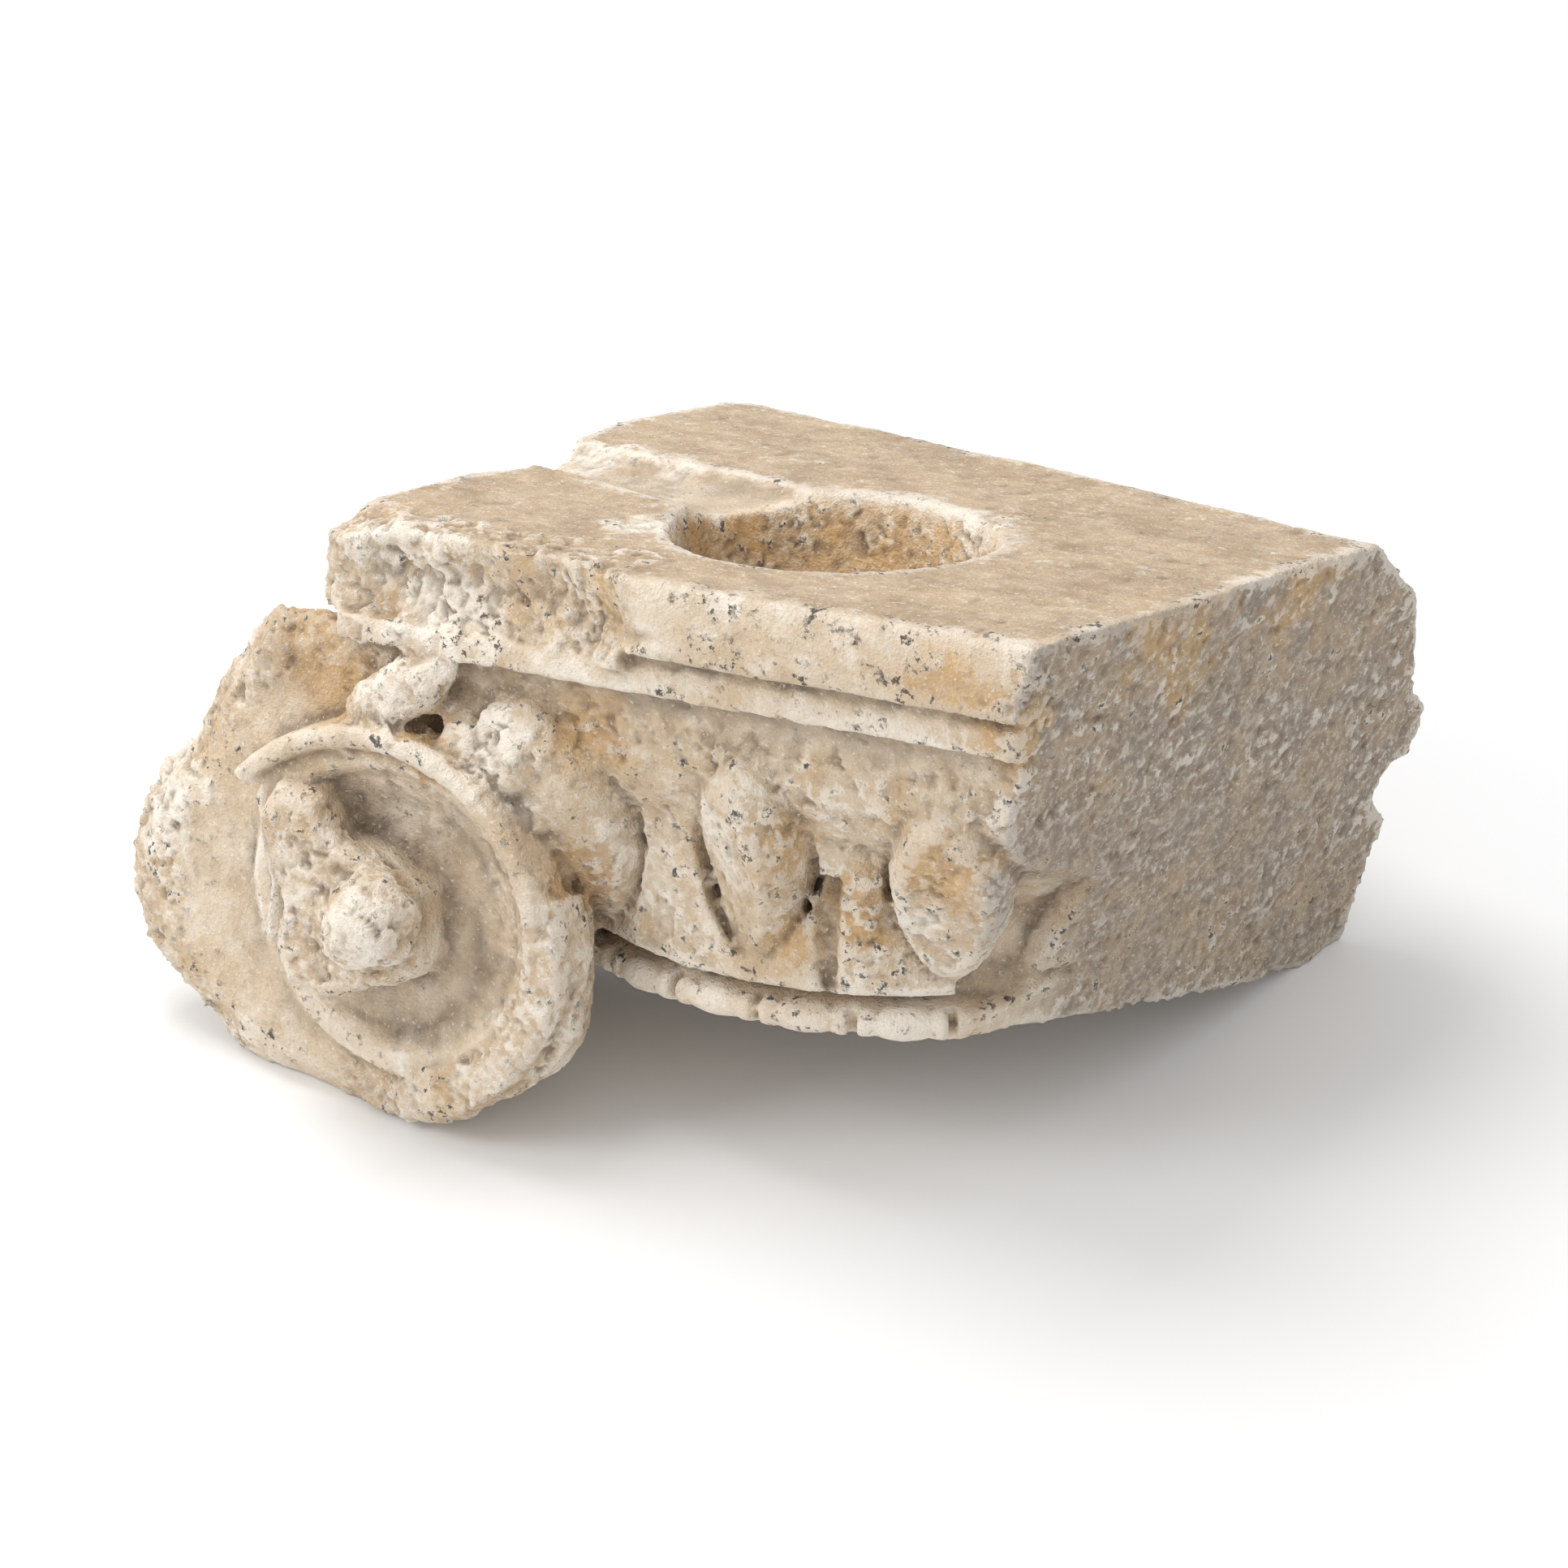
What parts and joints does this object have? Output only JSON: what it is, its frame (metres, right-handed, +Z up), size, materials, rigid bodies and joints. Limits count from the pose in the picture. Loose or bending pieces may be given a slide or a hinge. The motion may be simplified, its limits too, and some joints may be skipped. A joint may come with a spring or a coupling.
{
  "type": "ionic capital",
  "caption": "Broken Ionic column capital in marble: front left part with volute, eggs, bead-and-reel, a flat top bed and a round hollow in it.",
  "frame": {"origin": "centre of the bounding box at ground level, with the fragment lying as it rests in the picture", "axes": "+Z up from the ground, +X along the carved front from the volute to the cut face as seen from above, -Y towards the front"},
  "size_m": [0.5368, 0.4346, 0.3275],
  "materials": {
    "marble": "weathered coarse white marble with ochre and beige patina, matt"
  },
  "bodies": {
    "root": {"capital": "marble"}
  },
  "joints": []
}
